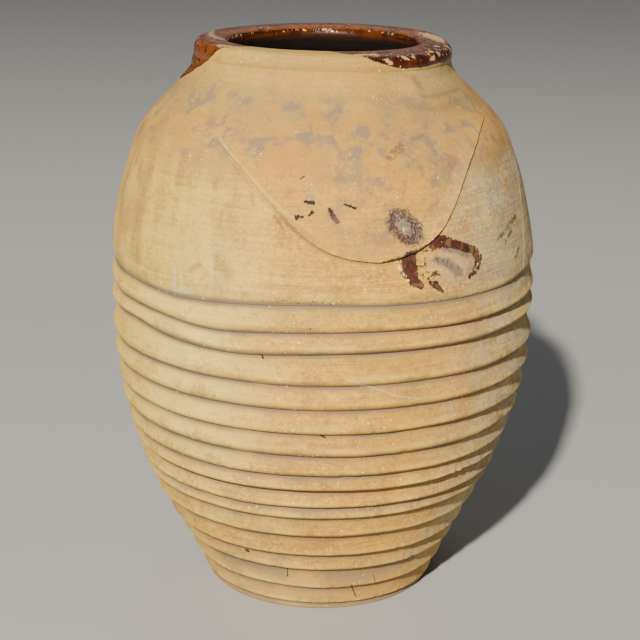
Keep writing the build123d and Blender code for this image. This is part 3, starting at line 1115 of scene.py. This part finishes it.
def shoulder_nicks(where, colour):
    """Nicks, pits, smears and a pale thread on the shoulder. Gives the colour and the nicks."""
    tree = where.tree
    crumbs = where.noise(150.0, 3.0, 0.75)
    pitted = where.path([(19.7, 0.6665), (23.6, 0.675)], (0.0048, 0.006), 0.5, 0.7) * crumbs.ramp(0.47, 0.53)
    nicks = where.paths(
        ([(-4.3, 0.6152), (-2.2, 0.614)], (0.0016, 0.0022), 0.3, 2.2),
        ([(-6.5, 0.5962), (-4.9, 0.5976)], (0.0026, 0.0014), 0.3, 2.2),
        ([(-3.3, 0.599), (-2.4, 0.603)], (0.0012, 0.0019), 0.3, 2.2),
        ([(2.2, 0.6055), (3.9, 0.5915)], (0.0026, 0.003), 0.3, 1.8),
        ([(5.8, 0.6125), (8.6, 0.608)], (0.001, 0.0018), 0.3, 1.8),
        ([(-6.0, 0.6415), (-4.8, 0.645)], 0.0006),
    )
    reddish = swell_round(where.azimuth, 3.6, 1.4) * swell(where.height, 0.592, 0.009)
    scuff = where.path([(28.0, 0.6835), (30.5, 0.685), (33.0, 0.6875)], (0.0022, 0.003, 0.0012), 0.8, 1.8)
    smear = where.paths(
        ([(53.0, 0.546), (59.0, 0.557)], 0.0034, 0.8),
        ([(58.4, 0.557), (64.5, 0.564)], 0.003, 0.8),
        ([(56.0, 0.539), (60.0, 0.549)], 0.003, 0.8),
        ([(60.5, 0.513), (63.5, 0.522)], 0.0028, 0.8),
    )
    rise = where.height - 0.436
    away = where.azimuth - (rise * 0.49 + rise * rise * 4.0 + math.radians(63.5))
    thread = (1 - away.size().ramp(0.004, 0.0085)) * where.height.ramp(0.44, 0.5)
    thread = thread * (1 - where.height.ramp(0.66, 0.68))
    colour = tree.layered(
        colour,
        (pitted * 0.7, PITTED_GREY),
        (nicks, tree.blend(reddish, BRUISE, RED_BRUISE)),
        (scuff * 0.6, SCUFF_GREY),
        (smear * crumbs.ramp(0.38, 0.52) * 0.8, BRUISE),
        (thread * 0.9, THREAD_PALE),
    )
    return colour, nicks.above(pitted)


def make_shoulder_clay():
    """Clay of the shoulder and the garlands, with the marks that the photograph shows there."""
    material, tree = new_material("buff_clay_shoulder")
    where = Where(tree)
    colour, relief = clay_ground(where)
    off = where.height - garland_line(where)
    inside = off.ramp(-0.002, 0.008)
    strip = off.ramp(0.028, 0.016) * inside
    smoke = where.noise(10.0, 2.0, 0.5)
    upper = (where.height + smoke * 0.1).ramp(0.66, 0.73)
    flank = where.left.ramp(0.76, 0.9) * (where.height + smoke * 0.05).ramp(0.53, 0.62)
    dusty = (inside * (1 - strip * 0.5)).above(upper).above(flank * 0.8)
    colour = dusty_top(where, tree.blend(upper * 0.6, colour, SMOKED_CLAY), dusty)
    colour = tree.blend(strip * 0.15, colour, BUFF)
    colour = shoulder_stains_and_light(where, colour, off, inside, upper)
    colour, splash, crack = glaze_splash(where, colour)
    colour, scarred = boss_scar(where, colour)
    colour, nicks = shoulder_nicks(where, colour)
    colour = seam_dirt_and_shade(where, colour)
    seam_pits = where.specks(290.0, 0.34, 0.6) * swell(where.height, 0.4915, 0.0026)
    seam_pits = seam_pits * (1 - (where.azimuth + 0.09).size().ramp(0.13, 0.16))
    colour = tree.blend(seam_pits.ramp(0.1, 0.5), colour, DEEP_GRIME_AND_SHADE)
    relief = relief + splash * 0.0007 - crack * 0.0012 - nicks * 0.001 - scarred * 0.0022
    finish_clay(where, colour, relief, 0.9 - splash * 0.5)
    return material


def glaze_colour(where):
    """Brown lead glaze: amber where it lies thin, nearly black where it pooled, and painted lighter amber
    where light falls on the left front and on the back of the lip's inner edge.
    """
    tree = where.tree
    flow = tree.noise(tree.vector(where.azimuth * 3, where.radius * 12, where.height * 14), 2.2, 4.0, 0.6)
    spotted = where.noise(120.0, 3.0, 0.65)
    lit = where.left.ramp(0.55, 0.9) * where.toward.ramp(-0.5, 0.1)
    lit_inner_back = where.radius.ramp(0.148, 0.139) * where.behind.ramp(-0.1, 0.5)
    return tree.layered(
        tree.blend(flow.ramp(0.38, 0.62), GLAZE_BROWN, GLAZE_DARK),
        # Painted light: lighter amber on the left front, where the light falls, and on the back of the lip's
        # inner edge
        (lit * flow.ramp(0.75, 0.45), GLAZE_AMBER),
        (lit_inner_back * flow.ramp(0.7, 0.4) * 0.6, GLAZE_AMBER),
        (spotted.ramp(0.46, 0.32) * 0.6, GLAZE_AMBER),
        (spotted.ramp(0.52, 0.64) * 0.8, GLAZE_DARK),
        (where.fine.ramp(0.56, 0.68) * 0.7, GLAZE_DARK),
    )


def rim_chips(where, flecks):
    """Where the glaze has chipped off the crests of the rim."""
    big_chips = where.noise(42.0, 3.0, 0.7)
    outer_crest = swell(where.height, 0.783, 0.006)
    inner_crest = swell(where.height, 0.824, 0.0045)
    right_side = where.turned(15, 40) * where.toward.ramp(-0.6, 0.0)
    chips = (outer_crest * 0.06 + inner_crest * 0.12 + right_side * 0.02 + flecks).ramp(0.67, 0.7)
    chips = chips.above((outer_crest * 0.03 + right_side * 0.02 + big_chips).ramp(0.68, 0.71))
    along_crest = where.paths(
        ([(14.0, 0.787), (24.0, 0.788)], (0.002, 0.0045), 0.2),
        ([(-56.0, 0.7885), (-48.0, 0.7935), (-38.0, 0.801)], (0.005, 0.0042, 0.002), 0.2),
    )
    chips = chips.above(along_crest)
    for oval in (
        (100.0, 0.7985, 0.04, 0.0125, 8, 0.1),
        (28.5, 0.7765, 0.006, 0.003, -30, 0.25),
        (37.7, 0.78, 0.005, 0.0022, -20, 0.25),
        (54.3, 0.7765, 0.0065, 0.0026, 15, 0.25),
        (61.0, 0.78, 0.005, 0.0024, 30, 0.25),
    ):
        chips = chips.above(where.spot(*oval))
    return chips


def make_rim_finish():
    """Clay of the neck and rim with the glaze that runs over the lip, chipped on its crests."""
    material, tree = new_material("buff_clay_and_glaze_rim")
    where = Where(tree, over_lip=True)
    colour, relief = clay_ground(where)
    low = 1 - where.height.ramp(0.72, 0.75)
    colour = tree.layered(colour, (0.65, DUSTY_CLAY), (low * 0.5, SMOKED_CLAY))
    colour = dusty_top(where, colour, low)
    stain = where.paths(
        ([(41.0, 0.752), (43.0, 0.744)], 0.006, 0.8),
        ([(40.0, 0.733), (46.0, 0.7315), (68.0, 0.733)], 0.0022, 0.9),
    )
    stain = stain.above(where.path([(31.0, 0.723), (46.0, 0.7165), (62.0, 0.722)], 0.0035, 1.0, 1.6) * 0.7)
    left = where.turned(-66, -40)
    right = where.turned(2, 36)
    run = swell_round(where.azimuth, -88, 17)
    front = where.turned(-47, -39) * (1 - where.turned(0, 9))
    edge = left * 0.033 - right * 0.026 - run * 0.033 + front * 0.0225 + 0.761
    wobble = (where.noise(34.0, 3.0) - 0.5) * 0.008
    climb = where.height - edge + wobble + where.ragged * 0.0012
    glazed = climb.ramp(-0.0006, 0.0006)
    hem = (1 - climb.size().ramp(0.0005, 0.0022)) * glazed
    flecks = where.noise(150.0, 3.0, 0.65)
    chips = rim_chips(where, flecks)
    worn = where.path([(-110.0, 0.79), (-92.0, 0.801), (-74.0, 0.817)], (0.003, 0.0048, 0.0045), 0.8)
    flat_top = where.height.ramp(0.788, 0.796) * (1 - where.height.ramp(0.815, 0.824))
    spotted_top = where.noise(95.0, 4.0, 0.7)
    coat = tree.layered(
        glaze_colour(where),
        (flat_top * spotted_top.ramp(0.62, 0.44) * 0.7, GLAZE_WORN),
        (flat_top * flecks.ramp(0.5, 0.62) * 0.5, GLAZE_DARK),
        (worn * 0.75, WORN_CREST),
        (hem * 0.6, GLAZE_DARK),
    )
    skin = glazed * (1 - chips)
    colour = tree.layered(
        colour,
        (stain * 0.8, GREY_CLAY),
        # Painted highlight: a pale grey line along the front inner crest of the lip
        (front * where.height.ramp(0.808, 0.813) * 0.8, CREST_HIGHLIGHT_GREY),
        (glazed * chips * 0.7, CHIP_BUFF),
        (skin, coat),
    )
    roughness = 0.9 - skin * (0.62 - flat_top * 0.2 - worn * 0.2)
    finish_clay(where, colour, relief * (1 - skin * 0.6) + skin * 0.0006, roughness)
    return material


def make_inner_glaze():
    """The glaze of the inside, dusty and chipped near the lip, painted lighter amber where light falls on its
    back, and painted near black for the shade further down.
    """
    material, tree = new_material("brown_glaze_inner")
    where = Where(tree)
    flow = tree.noise(where.stretched(5, 3), 2.0, 4.0, 0.6)
    ringed = tree.noise(where.stretched(2, 260), 1.0, 2.0)
    dust = where.noise(26.0, 4.0, 0.65).ramp(0.56, 0.74) * where.height.ramp(0.766, 0.776)
    fleck = where.noise(110.0, 3.0, 0.65)
    crest = swell(where.height, 0.7795, 0.003)
    chips = (fleck + crest * 0.14).ramp(0.7, 0.73) * where.height.ramp(0.77, 0.775)
    colour = tree.layered(
        tree.blend(flow.ramp(0.35, 0.6), GLAZE_INNER, GLAZE_DARK),
        # Painted light: amber on the back of the inside, where the light falls
        (where.behind.ramp(0.0, 0.6) * flow.ramp(0.75, 0.4) * 0.35, GLAZE_AMBER),
        (ringed.ramp(0.45, 0.65) * 0.6, GLAZE_BLACK_AND_SHADE),
        # Painted shade: near black below the lip, where the inside lies in shadow
        (1 - (where.height + flow * 0.012).ramp(0.768, 0.785), GLAZE_BLACK_AND_SHADE),
        (dust * 0.3, GLAZE_WORN),
        (chips, CHIP_BUFF),
    )
    inputs = {"Vector": where.place, "Scale": 150.0}
    crackle = tree.add("ShaderNodeTexVoronoi", {"feature": "DISTANCE_TO_EDGE"}, inputs)
    relief = (1 - crackle.ramp(0.0, 0.05)) * -0.00005 + fleck * 0.0002 - chips * 0.0006
    roughness = 0.1 + dust * 0.35 + chips * 0.5 + (1 - where.height.ramp(0.77, 0.778)) * 0.8
    give_finish(tree, relief, {"Base Color": colour, "Roughness": roughness, "Specular IOR Level": 0.15})
    return material


# The camera stands where the photograph was taken

camera = bpy.data.objects.new("camera", bpy.data.cameras.new("camera"))
bpy.context.scene.collection.objects.link(camera)
camera.data.lens = CAMERA_LENS
camera.data.sensor_width = SENSOR_WIDTH
camera.data.clip_end = 200
dipped = Matrix.Rotation(math.radians(90 - CAMERA_DIP), 4, "X")
rolled = Matrix.Rotation(math.radians(CAMERA_ROLL), 4, "Z")
camera.matrix_world = Matrix.Translation(CAMERA_PLACE) @ (dipped @ rolled)
bpy.context.scene.camera = camera

# Materials

wall_clay = make_wall_clay()
shoulder_clay = make_shoulder_clay()
rim_finish = make_rim_finish()
inner_glaze = make_inner_glaze()

# The base: the foot's face up to the first seam, the rounded corner, the underside and the floor

RING_TREE = build_ring_tree()
GARLAND_TREE = build_garland_tree()

floor_edge = inner_radius(FLOOR_HEIGHT)
foot_corner = [(FOOT_RADIUS - inset, height) for inset, height in FOOT_CORNER]
underside = [(HALFWAY_RADIUS, 0.0), (0.0, 0.0)]
floor_top = [(radius, FLOOR_HEIGHT) for radius in (0.0, HALFWAY_RADIUS, floor_edge)]
rest_of_base = plain(foot_corner + underside + floor_top + [(floor_edge, SEAMS[0][0])])
foot_faces = [face_of_course(GROUND, SEAMS[0], ledge) for ledge in (SOFT_LEDGE, CRISP_LEDGE)]
make_ring("base_disc", "clay", [face + rest_of_base for face in foot_faces], wall_clay)

# The wall and the shoulder

for number, (lower, upper) in enumerate(zip(SEAMS, SEAMS[1:]), 1):
    make_ring(f"wall_course_{number:02d}", "clay", course_section(lower, upper), wall_clay)

smooth_seams = [SEAMS[-1]] + [(height, 0.0, 0.0) for height in SHOULDER_HEIGHTS]
for number, (lower, upper) in enumerate(zip(smooth_seams, smooth_seams[1:]), 1):
    make_ring(f"shoulder_course_{number}", "clay", course_section(lower, upper), shoulder_clay)

# The neck and the rim

shoulder_top = SHOULDER_HEIGHTS[-1]
neck_line = smooth_line([(body_radius(shoulder_top), shoulder_top), *NECK_OUTLINE], NECK_STEPS)
throat = [(THROAT_RADIUS, THROAT_BOTTOM), (THROAT_RADIUS, LIP_BOTTOM)]
neck_inner = smooth_line([(inner_radius(shoulder_top), shoulder_top), *NECK_INSIDE, *throat], NECK_STEPS)
neck_loop = plain(reversed(neck_line)) + plain(neck_inner)
make_ring("neck_course", "clay", (neck_loop, neck_loop), rim_finish)

lip_line = smooth_line([(NECK_OUTLINE[-1][0], LIP_BOTTOM), *LIP_OUTLINE], LIP_STEPS)
lip_loop = plain(lip_line + [(THROAT_RADIUS, LIP_BOTTOM)])
lip_loop.reverse()
make_ring("rim_lip", "glazed", (lip_loop, lip_loop), rim_finish)

# The lining: its back lies on the clay, its face is a coat's thickness further in

wall_rise = shoulder_top - FLOOR_HEIGHT
wall_heights = [FLOOR_HEIGHT + wall_rise * step / LINING_STEPS for step in range(LINING_STEPS + 1)]
wall_line = [(inner_radius(height), height) for height in wall_heights]
throat_line = [(point[0], point[1]) for point in neck_inner[1:]]
behind = wall_line + throat_line + [LIP_OUTLINE[-1], LIP_OUTLINE[-2], LINING_TOP]
showing = [(radius - COAT, height) for radius, height in behind]
showing[0] = (showing[0][0], FLOOR_HEIGHT + COAT)
showing[-1] = LINING_TOP_INNER
bottom = [(0.0, FLOOR_HEIGHT), (HALFWAY_RADIUS, FLOOR_HEIGHT)]
bottom_top = [(HALFWAY_RADIUS, FLOOR_HEIGHT + COAT), (0.0, FLOOR_HEIGHT + COAT)]
coat_loop = plain(bottom + behind + showing[::-1] + bottom_top)
coat_loop.reverse()
make_ring("glaze_coat", "lining", (coat_loop, coat_loop), inner_glaze)

for node, turn in GARLAND_TURNS.items():
    make_garland(node, turn, shoulder_clay)

# The floor and the light

corners = [(-FLOOR_REACH, -FLOOR_REACH, 0), (FLOOR_REACH, -FLOOR_REACH, 0)]
corners += [(FLOOR_REACH, FLOOR_REACH, 0), (-FLOOR_REACH, FLOOR_REACH, 0)]
floor_mesh = bpy.data.meshes.new("floor")
floor_mesh.from_pydata(corners, [], [(0, 1, 2, 3)])
floor = bpy.data.objects.new("floor", floor_mesh)
bpy.context.scene.collection.objects.link(floor)
floor_material, floor_tree = new_material("pale_floor")
floor_inputs = {"Base Color": paint(176, 174, 170), "Roughness": 0.9}
floor_surface = floor_tree.add("ShaderNodeBsdfPrincipled", {}, floor_inputs)
floor_tree.add("ShaderNodeOutputMaterial", {}, {"Surface": floor_surface})
floor_mesh.materials.append(floor_material)

for name, (azimuth, elevation, distance, size, power) in LIGHTS.items():
    lamp = bpy.data.lights.new(name, "AREA")
    lamp.size = size
    lamp.energy = power
    lamp.color = LIGHT_COLOUR
    box = bpy.data.objects.new(name, lamp)
    bpy.context.scene.collection.objects.link(box)
    turn, rise = math.radians(azimuth), math.radians(elevation)
    way = Vector((math.sin(turn) * math.cos(rise), -math.cos(turn) * math.cos(rise), math.sin(rise)))
    aimed = way.to_track_quat("Z", "Y").to_matrix().to_4x4()
    box.matrix_world = Matrix.Translation(Vector((0, 0, AIM_HEIGHT)) + way * distance) @ aimed

world = bpy.data.worlds.new("studio")
bpy.context.scene.world = world
world.use_nodes = True
world.node_tree.nodes["Background"].inputs["Color"].default_value = SKY_COLOUR
world.node_tree.nodes["Background"].inputs["Strength"].default_value = SKY_STRENGTH
